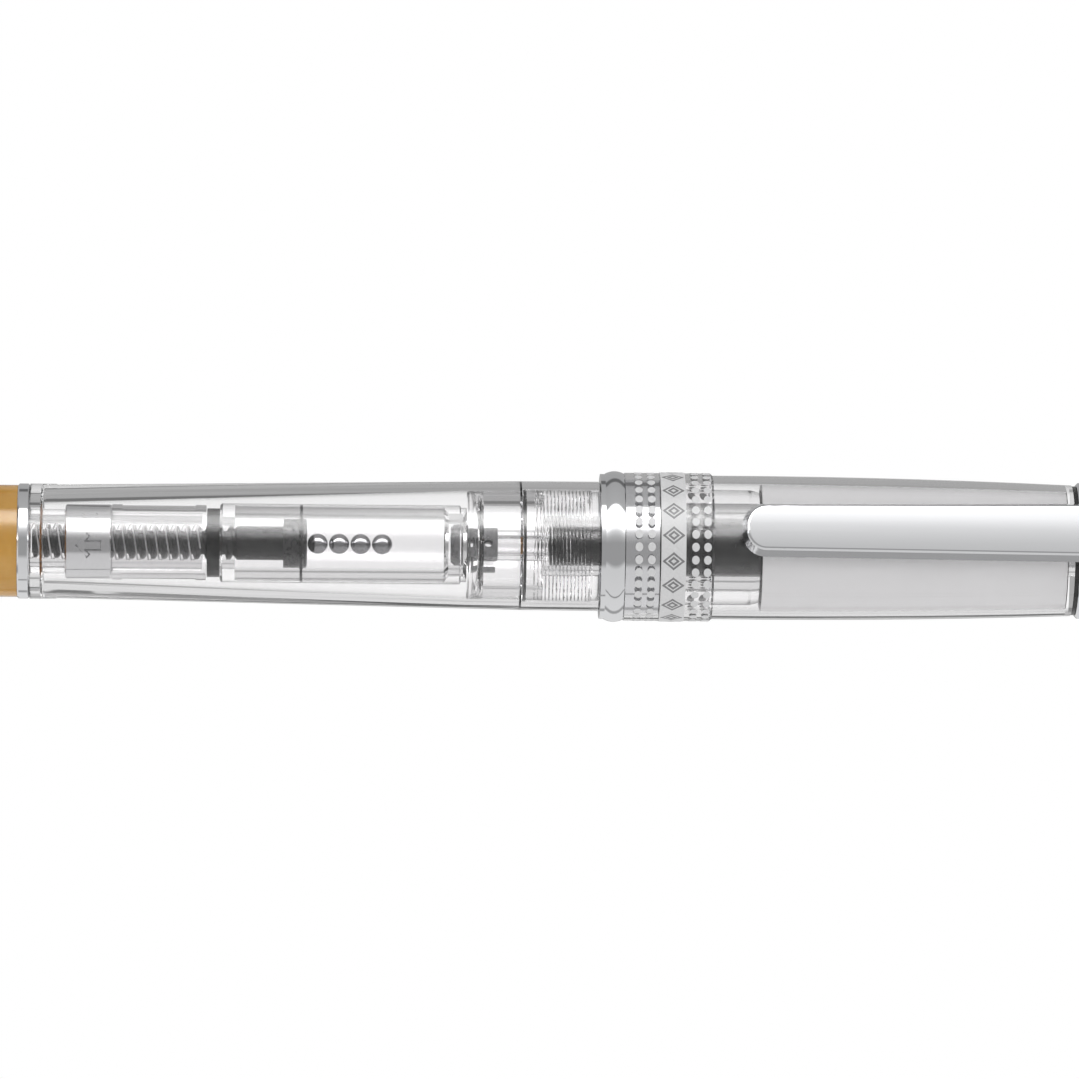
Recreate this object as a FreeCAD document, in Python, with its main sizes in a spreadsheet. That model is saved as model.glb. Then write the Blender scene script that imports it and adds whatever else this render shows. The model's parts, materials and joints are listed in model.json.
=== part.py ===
"""Clear demonstrator fountain pen with a screw converter, built as separate pieces.

The pen stands on its flat tail: the origin is the centre of the tail face and +Z runs to the cap top.
The clip is on the -Y side. All sizes are millimetres.
"""
import FreeCAD, Part
import math
import os
import Sketcher

# Driving dimensions. Heights (names ending in _z) are measured from the tail face.
DIMENSIONS = {
    # tail plug and ring
    "plug_radius": 4.96,
    "plug_top_z": 13.6,
    "plug_edge_round": 0.5,
    "plug_floor": 2.0,
    "plug_wall": 1.3,
    "tail_ring_radius": 5.09,
    "tail_ring_top_z": 14.7,
    "tenon_radius": 4.08,
    "tenon_end_z": 9.6,
    "tenon_bore_radius": 3.02,
    # barrel
    "barrel_rear_radius": 5.09,
    "barrel_rear_top_z": 17.05,
    "barrel_waist_radius": 5.03,
    "barrel_front_radius": 5.71,
    "barrel_front_z": 58.4,
    "barrel_mouth_radius": 5.73,
    "barrel_mouth_z": 65.0,
    "bore_rear_z": 15.6,
    "bore_rear_radius": 3.45,
    "bore_rear_round": 0.4,
    "bore_knee_z": 20.9,
    "bore_knee_radius": 3.63,
    "bore_front_radius": 4.85,
    "bore_front_z": 53.3,
    "bore_thread_z": 58.2,
    "bore_thread_radius": 5.02,
    # section (grip unit)
    "spigot_rear_z": 53.4,
    "spigot_face_z": 54.66,
    "spigot_face_radius": 4.2,
    "spigot_radius": 4.8,
    "spigot_bore_radius": 3.55,
    "spigot_bore_end_z": 60.1,
    "section_thread_z": 59.0,
    "section_thread_end_z": 64.3,
    "section_thread_radius": 4.95,
    "section_thread_lead": 0.65,
    "section_thread_depth": 0.12,
    "section_thread_starts": 2,
    "section_shoulder_radius": 5.5,
    "section_shoulder_z": 65.08,
    "section_shoulder_end_z": 66.0,
    "grip_rear_radius": 5.2,
    "grip_front_radius": 5.1,
    "grip_front_z": 78.5,
    "lip_neck_radius": 4.9,
    "lip_neck_z": 79.2,
    "section_front_z": 84.6,
    "feed_bore_gap": 0.05,
    "nib_bore_z": 79.8,
    "nib_bore_radius": 3.08,
    "gasket_z": 58.34,
    "gasket_length": 0.22,
    "gasket_radius": 4.98,
    "gasket_inner_radius": 4.5,
    # nib, feed and ink joint
    "feed_radius": 1.75,
    "feed_rear_z": 60.6,
    "feed_shoulder_z": 68.0,
    "feed_front_radius": 2.6,
    "feed_taper_z": 88.0,
    "feed_tip_z": 97.0,
    "feed_tip_radius": 0.9,
    "fin_count": 7,
    "fin_pitch": 0.8,
    "fin_gap": 0.35,
    "fin_depth": 0.7,
    "nib_thickness": 0.32,
    "nib_radius": 3.0,
    "nib_rear_z": 80.0,
    "nib_shoulder_z": 88.5,
    "nib_tip_z": 102.5,
    "nib_tip_radius": 0.42,
    "nib_wrap": 150.0,
    "nib_slit_width": 0.08,
    "nib_hole_z": 91.0,
    "nib_hole_radius": 0.5,
    "iridium_radius": 0.34,
    "nipple_radius": 1.83,
    "nipple_rear_z": 51.9,
    "nipple_block_z": 53.6,
    "nipple_block_top_z": 56.1,
    "nipple_block_width": 2.5,
    "nipple_window_z": 53.75,
    "nipple_window_side": 0.85,
    "nipple_port_z": 55.3,
    "nipple_port_radius": 0.4,
    "prong_root_z": 53.95,
    "prong_reach": 2.4,
    "prong_thickness": 0.4,
    "prong_end_z": 55.9,
    "ink_channel_radius": 0.6,
    "ink_tube_radius": 1.35,
    # converter
    "chamber_radius": 3.5,
    "chamber_bore_radius": 2.28,
    "chamber_rear_z": 31.5,
    "chamber_front_z": 53.3,
    "chamber_throat_z": 51.7,
    "chamber_throat_radius": 1.88,
    "collar_radius": 3.05,
    "collar_rear_z": 30.35,
    "guide_front_z": 32.8,
    "housing_radius": 3.25,
    "housing_bore_radius": 2.75,
    "housing_rear_z": 21.95,
    "housing_front_z": 30.25,
    "housing_bead_radius": 3.34,
    "housing_bead_length": 0.9,
    "sleeve_radius": 3.3,
    "sleeve_bore_radius": 2.9,
    "sleeve_rear_z": 17.85,
    "knob_end_z": 12.7,
    "knob_grip_z": 14.5,
    "knob_end_radius": 2.45,
    "knob_radius": 2.85,
    "knob_top_z": 17.75,
    "knob_tube_radius": 2.6,
    "knob_tube_end_z": 29.9,
    "knob_bore_radius": 1.6,
    "knob_groove_count": 24,
    "rod_radius": 1.5,
    "rod_core_radius": 1.05,
    "rod_guide_gap": 0.06,
    "rod_lead": 1.9,
    "rod_starts": 2,
    "rod_rear_z": 14.9,
    "rod_thread_end_z": 33.0,
    "piston_rear_z": 37.1,
    "piston_front_z": 39.18,
    "piston_radius": 2.16,
    "seal_rear_z": 38.45,
    "seal_length": 0.45,
    "seal_radius": 2.25,
    "seal_inner_radius": 1.7,
    "ball_radius": 0.9,
    "ball_first_z": 40.12,
    "ball_pitch": 1.9,
    "ball_count": 4,
    # cap
    "lip_z": 65.15,
    "lip_radius": 6.42,
    "lip_inner_radius": 5.66,
    "cap_ring_z": 65.55,
    "cap_ring_radius": 6.68,
    "cap_ring_shelf_radius": 6.45,
    "cap_ring_top_z": 67.3,
    "skirt_radius": 5.98,
    "skirt_end_z": 70.3,
    "cap_rear_radius": 6.55,
    "cap_step_z": 74.9,
    "cap_step_radius": 6.36,
    "cap_top_radius": 5.8,
    "cap_top_z": 107.0,
    "cap_bore_radius": 6.0,
    "cap_seat_z": 71.8,
    "cap_seat_radius": 5.72,
    "cap_seat_top_radius": 5.25,
    "cap_wall_z": 106.45,
    "stud_bore_radius": 1.55,
    "band_z": 70.4,
    "band_top_z": 72.6,
    "band_gap": 0.01,
    "band_thickness": 0.04,
    "inner_cap_rear_z": 79.4,
    "inner_cap_radius": 5.64,
    "inner_cap_top_radius": 5.2,
    "inner_cap_wall": 0.5,
    "inner_cap_stop_z": 84.65,
    "inner_cap_stop_wall": 0.9,
    "inner_cap_roof_z": 103.6,
    "inner_cap_roof_top_z": 104.6,
    "inner_cap_end_z": 106.38,
    "washer_z": 107.05,
    "washer_radius": 5.72,
    "washer_top_z": 107.35,
    "clip_ring_z": 107.4,
    "clip_ring_radius": 6.02,
    "clip_ring_top_z": 110.3,
    "finial_z": 110.35,
    "finial_radius": 5.55,
    "finial_top_radius": 5.2,
    "finial_round": 0.9,
    "cap_end_z": 120.4,
    "stud_head_radius": 3.0,
    "stud_head_z": 105.2,
    "stud_radius": 1.5,
    "stud_end_z": 117.5,
    # clip
    "clip_tip_z": 77.47,
    "clip_root_z": 110.2,
    "clip_top_y": 9.0,
    "clip_under_y": 7.56,
    "clip_tip_half_width": 2.4,
    "clip_root_half_width": 2.65,
    "clip_tip_round": 2.1,
    "clip_draft": 0.45,
    "clip_sheet": 0.5,
    "clip_crown": 0.08,
    "clip_edge_round": 0.3,
    "clip_foot_z": 80.6,
    "clip_foot_length": 3.2,
    "clip_foot_half_width": 1.1,
    "clip_foot_y": 6.42,
    "clip_tab_y": 7.35,
    "clip_tab_half_width": 1.8,
}

ORIGIN = FreeCAD.Vector(0, 0, 0)

doc = FreeCAD.newDocument("fountain_pen")
sheet = doc.addObject("Spreadsheet::Sheet", "Sizes")
for row, (alias, number) in enumerate(DIMENSIONS.items(), start=1):
    sheet.set(f"A{row}", alias)
    sheet.set(f"B{row}", str(number))
    sheet.setAlias(f"B{row}", alias)
doc.recompute()


class Size:
    """A length that knows its number and the sheet expression that gives it."""

    def __init__(self, number, text):
        self.number = float(number)
        self.text = text

    @staticmethod
    def of(value):
        return value if isinstance(value, Size) else Size(value, repr(value))

    def join(self, other, sign, number):
        other = Size.of(other)
        return Size(number(self.number, other.number), f"({self.text} {sign} {other.text})")

    def __add__(self, other):
        return self.join(other, "+", lambda a, b: a + b)

    def __sub__(self, other):
        return self.join(other, "-", lambda a, b: a - b)

    def __mul__(self, other):
        return self.join(other, "*", lambda a, b: a * b)

    def __truediv__(self, other):
        return self.join(other, "/", lambda a, b: a / b)


S = {alias: Size(number, f"Sizes.{alias}") for alias, number in DIMENSIONS.items()}
AXIS = Size(0, "0")
parts = []


def new_body(label):
    body = doc.addObject("PartDesign::Body", label)
    body.Label = label
    parts.append(body)
    return body


def origin_feature(body, role):
    return next(item for item in body.Origin.OriginFeatures if item.Role == role)


def new_sketch(body, name, plane="XZ_Plane", offset=None):
    """A sketch on one of the body's origin planes, moved along the plane's normal by offset."""
    sketch = body.newObject("Sketcher::SketchObject", name)
    sketch.AttachmentSupport = [(origin_feature(body, plane), "")]
    sketch.MapMode = "FlatFace"
    if offset is not None:
        sketch.setExpression("AttachmentOffset.Base.z", offset.text)
    return sketch


def pin_point(sketch, geometry, end, across, up):
    """Holds one end of a line at (across, up) from the sketch's origin."""
    for kind, size, axis in (("DistanceX", across, -2), ("DistanceY", up, -1)):
        if size.number == 0:
            sketch.addConstraint(Sketcher.Constraint("PointOnObject", geometry, end, axis))
            continue
        index = sketch.addConstraint(Sketcher.Constraint(kind, -1, 1, geometry, end, size.number))
        sketch.setExpression(f"Constraints[{index}]", size.text)


def draw_outline(sketch, points):
    """Draws a closed outline. A point is (across, up), or (across, up, bulge) where the side that
    leaves it is an arc that stands out by bulge to the right of its direction."""
    points = [tuple(Size.of(value) for value in point) for point in points]
    places = [FreeCAD.Vector(point[0].number, point[1].number, 0) for point in points]
    first = sketch.GeometryCount
    count = len(points)
    ends = []
    for index, point in enumerate(points):
        start = places[index]
        end = places[(index + 1) % count]
        if len(point) == 2:
            sketch.addGeometry(Part.LineSegment(start, end))
            ends.append((1, 2))
            continue
        chord = end - start
        side = FreeCAD.Vector(chord.y, -chord.x, 0).normalize()
        middle = (start + end) * 0.5 + side * point[2].number
        hollow = point[2].number < 0
        sketch.addGeometry(Part.Arc(end, middle, start) if hollow else Part.Arc(start, middle, end))
        ends.append((2, 1) if hollow else (1, 2))
    for index, point in enumerate(points):
        before = (index - 1) % count
        sketch.addConstraint(Sketcher.Constraint(
            "Coincident", first + before, ends[before][1], first + index, ends[index][0]))
        pin_point(sketch, first + index, ends[index][0], point[0], point[1])
        if len(point) == 3:
            radius = sketch.Geometry[first + index].Radius
            sketch.addConstraint(Sketcher.Constraint("Radius", first + index, radius))


def turn(body, points, name="Turned", cut=False, angle=360.0):
    """Revolves a closed (radius, height) outline about the pen's axis."""
    sketch = new_sketch(body, name + "Profile")
    draw_outline(sketch, points)
    kind = "PartDesign::Groove" if cut else "PartDesign::Revolution"
    feature = body.newObject(kind, name)
    feature.Profile = sketch
    feature.ReferenceAxis = (sketch, ["V_Axis"])
    feature.Angle = angle
    doc.recompute()
    return feature


def turned_part(label, points):
    body = new_body(label)
    turn(body, points)
    return body


def ring_part(label, inner, outer, low, high):
    return turned_part(label, [(inner, low), (outer, low), (outer, high), (inner, high)])


def pad(body, sketch, length, name, midplane=False, reverse=False):
    feature = body.newObject("PartDesign::Pad", name)
    feature.Profile = sketch
    feature.setExpression("Length", Size.of(length).text)
    feature.Midplane = midplane
    feature.Reversed = reverse
    doc.recompute()
    return feature


def pocket(body, sketch, length, name, midplane=False, reverse=False):
    """Cuts a sketch through the body and checks that it removed something."""
    before = body.Shape.Volume
    feature = body.newObject("PartDesign::Pocket", name)
    feature.Profile = sketch
    feature.setExpression("Length", Size.of(length).text)
    feature.Midplane = midplane
    feature.Reversed = reverse
    doc.recompute()
    if not body.Shape.Volume < before:
        raise RuntimeError(f"{body.Label}: {name} cuts nothing")
    return feature


def circle_sketch(body, name, plane, across, up, radius, offset=None):
    sketch = new_sketch(body, name, plane, offset)
    centre = FreeCAD.Vector(across.number, up.number, 0)
    index = sketch.addGeometry(Part.Circle(centre, FreeCAD.Vector(0, 0, 1), radius.number))
    pin_point(sketch, index, 3, across, up)
    held = sketch.addConstraint(Sketcher.Constraint("Radius", index, radius.number))
    sketch.setExpression(f"Constraints[{held}]", radius.text)
    return sketch


def rectangle_sketch(body, name, plane, left, right, low, high, offset=None):
    sketch = new_sketch(body, name, plane, offset)
    draw_outline(sketch, [(left, low), (right, low), (right, high), (left, high)])
    return sketch


def mirrored(half):
    return half * -1


def quarter_round(alias):
    """How far a quarter round of the given radius stands out from its chord."""
    return DIMENSIONS[alias] * (1 - math.sqrt(0.5))


# ---------------------------------------------------------------- tail and barrel

def make_tail_plug():
    """Amber cup that closes the tail; the barrel's tenon seats in its mouth."""
    inside = S["plug_radius"] - S["plug_wall"]
    socket = S["tenon_radius"] + 0.02
    shelf = S["tenon_end_z"] - 0.1
    turned_part("tail_plug", [
        (AXIS, AXIS), (S["plug_radius"] - S["plug_edge_round"], AXIS, quarter_round("plug_edge_round")),
        (S["plug_radius"], S["plug_edge_round"]), (S["plug_radius"], S["plug_top_z"]),
        (socket, S["plug_top_z"]), (socket, shelf), (inside, shelf),
        (inside, S["plug_floor"]), (AXIS, S["plug_floor"])])


def make_tail_ring():
    body = ring_part("tail_ring", S["tenon_radius"] + 0.02, S["tail_ring_radius"],
                     S["plug_top_z"] + 0.01, S["tail_ring_top_z"] - 0.01)
    edge_chamfer(body, 0.15, S["tail_ring_radius"])


def edge_chamfer(body, size, radius):
    """Breaks the round edges of the given radius."""
    edges = [f"Edge{index}" for index, edge in enumerate(body.Shape.Edges, start=1)
             if isinstance(edge.Curve, Part.Circle) and abs(edge.Curve.Radius - radius.number) < 1e-4]
    base = body.Tip
    chamfer = body.newObject("PartDesign::Chamfer", "BrokenEdges")
    chamfer.Base = (base, edges)
    chamfer.Size = size
    doc.recompute()


def edge_fillet(body, size, chosen, name="Rounded"):
    """Rounds the edges that the test picks out."""
    edges = [f"Edge{index}" for index, edge in enumerate(body.Shape.Edges, start=1) if chosen(edge)]
    base = body.Tip
    fillet = body.newObject("PartDesign::Fillet", name)
    fillet.Base = (base, edges)
    fillet.Radius = size
    doc.recompute()
    return fillet


def make_barrel():
    """Clear tube with a thick wall; its bore widens towards the mouth."""
    turned_part("barrel", [
        (S["tenon_bore_radius"], S["tenon_end_z"]), (S["tenon_radius"], S["tenon_end_z"]),
        (S["tenon_radius"], S["tail_ring_top_z"]), (S["barrel_rear_radius"], S["tail_ring_top_z"]),
        (S["barrel_rear_radius"], S["barrel_rear_top_z"]), (S["barrel_waist_radius"], S["barrel_rear_top_z"]),
        (S["barrel_front_radius"], S["barrel_front_z"]), (S["barrel_mouth_radius"], S["barrel_mouth_z"]),
        (S["bore_thread_radius"], S["barrel_mouth_z"]), (S["bore_thread_radius"], S["bore_thread_z"]),
        (S["bore_front_radius"], S["bore_thread_z"] - 0.17), (S["bore_front_radius"], S["bore_front_z"]),
        (S["bore_knee_radius"], S["bore_knee_z"]),
        (S["bore_rear_radius"], S["bore_rear_z"] + S["bore_rear_round"], -quarter_round("bore_rear_round")),
        (S["bore_rear_radius"] - S["bore_rear_round"], S["bore_rear_z"]),
        (S["tenon_bore_radius"], S["bore_rear_z"])])


# ---------------------------------------------------------------- section unit

def make_gasket():
    low = S["gasket_z"]
    high = low + S["gasket_length"]
    body = ring_part("joint_gasket", S["gasket_inner_radius"], S["gasket_radius"], low, high)
    edge_chamfer(body, 0.06, S["gasket_radius"])


def make_section():
    """Clear grip unit: rear spigot, threaded waist and the grip with its narrow front neck."""
    groove_low = S["gasket_z"] - 0.02
    groove_high = S["gasket_z"] + S["gasket_length"] + 0.02
    groove = S["gasket_inner_radius"] - 0.02
    root = S["section_thread_radius"] - S["section_thread_depth"]
    rear_bore = S["feed_radius"] + S["feed_bore_gap"]
    front_bore = S["feed_front_radius"] + S["feed_bore_gap"]
    bore_step = S["feed_shoulder_z"] - S["feed_bore_gap"]
    body = turned_part("section", [
        (S["spigot_bore_radius"], S["spigot_face_z"] + 0.15),
        (S["spigot_bore_radius"] + 0.15, S["spigot_face_z"]),
        (S["spigot_face_radius"], S["spigot_face_z"], -0.2),
        (S["spigot_radius"] - 0.05, S["spigot_rear_z"]), (S["spigot_radius"], S["spigot_rear_z"] + 0.12),
        (S["spigot_radius"], groove_low), (groove, groove_low), (groove, groove_high),
        (S["section_thread_radius"], groove_high), (S["section_thread_radius"], S["section_thread_end_z"]),
        (root, S["section_thread_end_z"] + 0.1), (root, S["section_shoulder_z"]),
        (S["section_shoulder_radius"], S["section_shoulder_z"]),
        (S["section_shoulder_radius"], S["section_shoulder_end_z"]),
        (S["grip_rear_radius"], S["section_shoulder_end_z"] + 0.3),
        (S["grip_front_radius"], S["grip_front_z"]), (S["lip_neck_radius"], S["lip_neck_z"]),
        (S["lip_neck_radius"], S["section_front_z"] - 0.3),
        (S["lip_neck_radius"] - 0.3, S["section_front_z"]),
        (S["nib_bore_radius"], S["section_front_z"]), (S["nib_bore_radius"], S["nib_bore_z"]),
        (front_bore, S["nib_bore_z"]), (front_bore, bore_step), (rear_bore, bore_step),
        (rear_bore, S["spigot_bore_end_z"]), (S["spigot_bore_radius"], S["spigot_bore_end_z"])])
    cut_thread(body, S["section_thread_z"] + 0.35, S["section_thread_end_z"] - 0.3)


def cut_thread(body, low, high):
    """Cuts the section's fine two-start, right-handed thread between two heights."""
    radius = S["section_thread_radius"]
    half = S["section_thread_lead"] / S["section_thread_starts"] * 0.4
    sketch = new_sketch(body, "ThreadProfile")
    draw_outline(sketch, [(radius - S["section_thread_depth"], low), (radius + 0.2, low - half),
                          (radius + 0.2, low + half)])
    doc.recompute()
    before = body.Shape.Volume
    helix = body.newObject("PartDesign::SubtractiveHelix", "Thread")
    helix.Profile = sketch
    helix.ReferenceAxis = (sketch, ["V_Axis"])
    helix.Mode = 0
    helix.setExpression("Pitch", S["section_thread_lead"].text)
    helix.setExpression("Height", (high - low).text)
    helix.LeftHanded = False
    helix.Reversed = False
    doc.recompute()
    if not body.Shape.Volume < before:
        raise RuntimeError(f"{body.Label}: the thread cuts nothing")
    all_starts(body, helix, sketch, S["section_thread_starts"])


def all_starts(body, helix, sketch, count):
    """Repeats a thread round the axis, once for each of its starts."""
    starts = body.newObject("PartDesign::PolarPattern", "Starts")
    starts.Originals = [helix]
    starts.Axis = (sketch, ["V_Axis"])
    starts.Angle = 360
    starts.setExpression("Occurrences", count.text)
    body.Tip = starts
    doc.recompute()


def make_nipple():
    """Grey ink joint: the nipple that pierces the converter, its windowed block and its side prong."""
    body = new_body("ink_nipple")
    turn(body, [(AXIS, S["nipple_rear_z"]), (S["nipple_radius"] - 0.3, S["nipple_rear_z"]),
                (S["nipple_radius"], S["nipple_rear_z"] + 0.3), (S["nipple_radius"], S["nipple_block_z"]),
                (AXIS, S["nipple_block_z"])], "Nipple")
    half = S["nipple_block_width"] / 2
    block = rectangle_sketch(body, "BlockProfile", "XY_Plane", mirrored(half), half, mirrored(half), half,
                             S["nipple_block_z"])
    pad(body, block, S["nipple_block_top_z"] - S["nipple_block_z"], "Block")
    prong = new_sketch(body, "ProngProfile")
    thick = S["prong_thickness"]
    draw_outline(prong, [
        (half - 0.1, S["prong_root_z"]), (S["prong_reach"], S["prong_root_z"]),
        (S["prong_reach"], S["prong_end_z"]), (S["prong_reach"] - thick, S["prong_end_z"]),
        (S["prong_reach"] - thick, S["prong_root_z"] + thick), (half - 0.1, S["prong_root_z"] + thick)])
    pad(body, prong, S["nipple_block_width"] / 2, "Prong", midplane=True)
    side = S["nipple_window_side"]
    window = rectangle_sketch(body, "WindowProfile", "XZ_Plane", mirrored(side) / 2, side / 2,
                              S["nipple_window_z"], S["nipple_window_z"] + side)
    pocket(body, window, S["nipple_block_width"] * 2, "Window", midplane=True)
    port = circle_sketch(body, "PortProfile", "XZ_Plane", AXIS, S["nipple_port_z"], S["nipple_port_radius"])
    pocket(body, port, S["nipple_block_width"] * 2, "Port", midplane=True)
    channel = circle_sketch(body, "ChannelProfile", "XY_Plane", AXIS, AXIS, S["ink_channel_radius"],
                            S["nipple_rear_z"] - 0.1)
    pocket(body, channel, S["nipple_block_top_z"] - S["nipple_rear_z"] + 0.4, "Channel", reverse=True)


def make_feed():
    """Black feed: a long core in the section and a finned, tapered tongue under the nib."""
    body = turned_part("feed", [
        (AXIS, S["feed_rear_z"]), (S["feed_radius"] - 0.15, S["feed_rear_z"]),
        (S["feed_radius"], S["feed_rear_z"] + 0.15), (S["feed_radius"], S["feed_shoulder_z"]),
        (S["feed_front_radius"], S["feed_shoulder_z"]), (S["feed_front_radius"], S["feed_taper_z"]),
        (S["feed_tip_radius"], S["feed_tip_z"] - 0.2), (S["feed_tip_radius"] - 0.3, S["feed_tip_z"]),
        (AXIS, S["feed_tip_z"])])
    outer = S["feed_front_radius"] + 0.5
    inner = S["feed_front_radius"] - S["fin_depth"]
    for index in range(int(DIMENSIONS["fin_count"])):
        low = S["section_front_z"] + 0.5 + S["fin_pitch"] * index
        inner_here = inner - (0.25 * max(0, index - 3))
        turn(body, [(inner_here, low), (outer, low), (outer, low + S["fin_gap"]),
                    (inner_here, low + S["fin_gap"])], f"Fin{index + 1}", cut=True)


def make_nib():
    """Steel nib: a rolled shell over the -Y side of the feed, slit from its tip to the breather hole."""
    body = new_body("nib")
    outer = S["nib_radius"]
    inner = outer - S["nib_thickness"]
    tip = S["nib_tip_radius"]
    sheet_tip = S["nib_thickness"] * 0.7
    shell = turn(body, [(inner, S["nib_rear_z"]), (outer, S["nib_rear_z"]),
                        (outer, S["nib_shoulder_z"], 0.35),
                        (tip, S["nib_tip_z"]), (tip - sheet_tip, S["nib_tip_z"], -0.33),
                        (inner, S["nib_shoulder_z"])], "Shell", angle=DIMENSIONS["nib_wrap"])
    shell.Midplane = True
    doc.recompute()
    hole = circle_sketch(body, "BreatherProfile", "YZ_Plane", AXIS, S["nib_hole_z"], S["nib_hole_radius"])
    pocket(body, hole, outer * 2, "Breather", midplane=True)
    slit = rectangle_sketch(body, "SlitProfile", "XZ_Plane", AXIS, outer * 1.5,
                            S["nib_hole_z"], S["nib_tip_z"] + 1.0)
    pocket(body, slit, S["nib_slit_width"], "Slit", midplane=True)
    body.Placement = FreeCAD.Placement(ORIGIN, FreeCAD.Vector(0, 0, 1), -90)


def make_nib_tip():
    """Hard tipping bead welded to the point of the nib."""
    bead = doc.addObject("Part::Sphere", "nib_tip_bead")
    bead.Label = "nib_tip_bead"
    bead.setExpression("Radius", S["iridium_radius"].text)
    bead.setExpression("Placement.Base.z", (S["nib_tip_z"] + S["iridium_radius"] + 0.01).text)
    bead.setExpression("Placement.Base.y", (mirrored(S["nib_tip_radius"]) + 0.15).text)
    parts.append(bead)


# ---------------------------------------------------------------- converter

def make_chamber():
    """Clear ink chamber: its rear wall guides the rod and its mouth fits over the nipple."""
    guide = S["rod_radius"] + S["rod_guide_gap"]
    turned_part("converter_chamber", [
        (guide, S["chamber_rear_z"]), (S["chamber_radius"] - 0.15, S["chamber_rear_z"]),
        (S["chamber_radius"], S["chamber_rear_z"] + 0.15), (S["chamber_radius"], S["chamber_front_z"] - 0.6),
        (S["chamber_radius"] - 0.2, S["chamber_front_z"] - 0.5),
        (S["chamber_radius"] - 0.2, S["chamber_front_z"]),
        (S["chamber_throat_radius"] + 0.3, S["chamber_front_z"]),
        (S["chamber_throat_radius"], S["chamber_front_z"] - 0.3),
        (S["chamber_throat_radius"], S["chamber_throat_z"]),
        (S["chamber_bore_radius"], S["chamber_throat_z"] - 0.4),
        (S["chamber_bore_radius"], S["guide_front_z"]), (guide, S["guide_front_z"])])


def make_converter_housing():
    bead = S["housing_bead_radius"]
    rear_bead = S["housing_rear_z"] + S["housing_bead_length"]
    front_bead = S["housing_front_z"] - S["housing_bead_length"]
    turned_part("converter_housing", [
        (S["housing_bore_radius"], S["housing_rear_z"]), (bead, S["housing_rear_z"]), (bead, rear_bead),
        (S["housing_radius"], rear_bead), (S["housing_radius"], front_bead), (bead, front_bead),
        (bead, S["housing_front_z"]), (S["housing_bore_radius"], S["housing_front_z"])])


def make_converter_sleeve():
    body = ring_part("converter_sleeve", S["sleeve_bore_radius"], S["sleeve_radius"],
                     S["sleeve_rear_z"], S["housing_rear_z"] - 0.02)
    edge_chamfer(body, 0.12, S["sleeve_radius"])


def make_knob():
    """Clear knob whose long inner tube is the nut of the drive screw."""
    body = turned_part("converter_knob", [
        (S["knob_bore_radius"], S["knob_end_z"]), (S["knob_end_radius"], S["knob_end_z"]),
        (S["knob_radius"], S["knob_end_z"] + 0.4), (S["knob_radius"], S["knob_top_z"]),
        (S["knob_tube_radius"], S["knob_top_z"]), (S["knob_tube_radius"], S["knob_tube_end_z"]),
        (S["knob_bore_radius"], S["knob_tube_end_z"])])
    groove = circle_sketch(body, "GripProfile", "XY_Plane", S["knob_radius"] + 0.1, AXIS, Size(0.2, "0.2"),
                           S["knob_grip_z"])
    first = pocket(body, groove, S["knob_grip_z"] - S["knob_end_z"] + 0.5, "GripGroove")
    pattern = body.newObject("PartDesign::PolarPattern", "GripGrooves")
    pattern.Originals = [first]
    pattern.Axis = (groove, ["N_Axis"])
    pattern.Angle = 360
    pattern.setExpression("Occurrences", S["knob_groove_count"].text)
    body.Tip = pattern
    doc.recompute()


def make_drive_screw():
    """Black two-start screw; its plain front half carries the piston."""
    body = turned_part("drive_screw", [
        (AXIS, S["rod_rear_z"]), (S["rod_core_radius"], S["rod_rear_z"]),
        (S["rod_core_radius"], S["rod_thread_end_z"] - 0.4), (S["rod_radius"], S["rod_thread_end_z"]),
        (S["rod_radius"], S["piston_rear_z"] - 0.02), (AXIS, S["piston_rear_z"] - 0.02)])
    low = S["rod_rear_z"] + 0.3
    sketch = new_sketch(body, "ThreadProfile")
    draw_outline(sketch, [(S["rod_core_radius"] - 0.2, low - 0.26), (S["rod_radius"], low - 0.1),
                          (S["rod_radius"], low + 0.1), (S["rod_core_radius"] - 0.2, low + 0.26)])
    helix = body.newObject("PartDesign::AdditiveHelix", "Thread")
    helix.Profile = sketch
    helix.ReferenceAxis = (sketch, ["V_Axis"])
    helix.Mode = 0
    helix.setExpression("Pitch", S["rod_lead"].text)
    helix.setExpression("Height", (S["rod_thread_end_z"] - low - 0.2).text)
    doc.recompute()
    all_starts(body, helix, sketch, S["rod_starts"])


def make_piston():
    groove = S["seal_inner_radius"] - 0.02
    low = S["seal_rear_z"] - 0.01
    high = S["seal_rear_z"] + S["seal_length"] + 0.01
    turned_part("piston", [
        (AXIS, S["piston_rear_z"]), (S["piston_radius"], S["piston_rear_z"]), (S["piston_radius"], low),
        (groove, low), (groove, high), (S["piston_radius"], high),
        (S["piston_radius"], S["piston_front_z"] - 0.1), (S["piston_radius"] - 0.2, S["piston_front_z"]),
        (AXIS, S["piston_front_z"])])


def make_seal():
    body = ring_part("piston_seal", S["seal_inner_radius"], S["seal_radius"],
                     S["seal_rear_z"], S["seal_rear_z"] + S["seal_length"])
    edge_chamfer(body, 0.08, S["seal_radius"])


def make_balls():
    """Steel agitator balls that keep the ink from clinging in the chamber."""
    for index in range(int(DIMENSIONS["ball_count"])):
        ball = doc.addObject("Part::Sphere", f"agitator_ball_{index + 1}")
        ball.Label = f"agitator_ball_{index + 1}"
        ball.setExpression("Radius", S["ball_radius"].text)
        ball.setExpression("Placement.Base.z", (S["ball_first_z"] + S["ball_pitch"] * index).text)
        parts.append(ball)


# ---------------------------------------------------------------- cap

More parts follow.
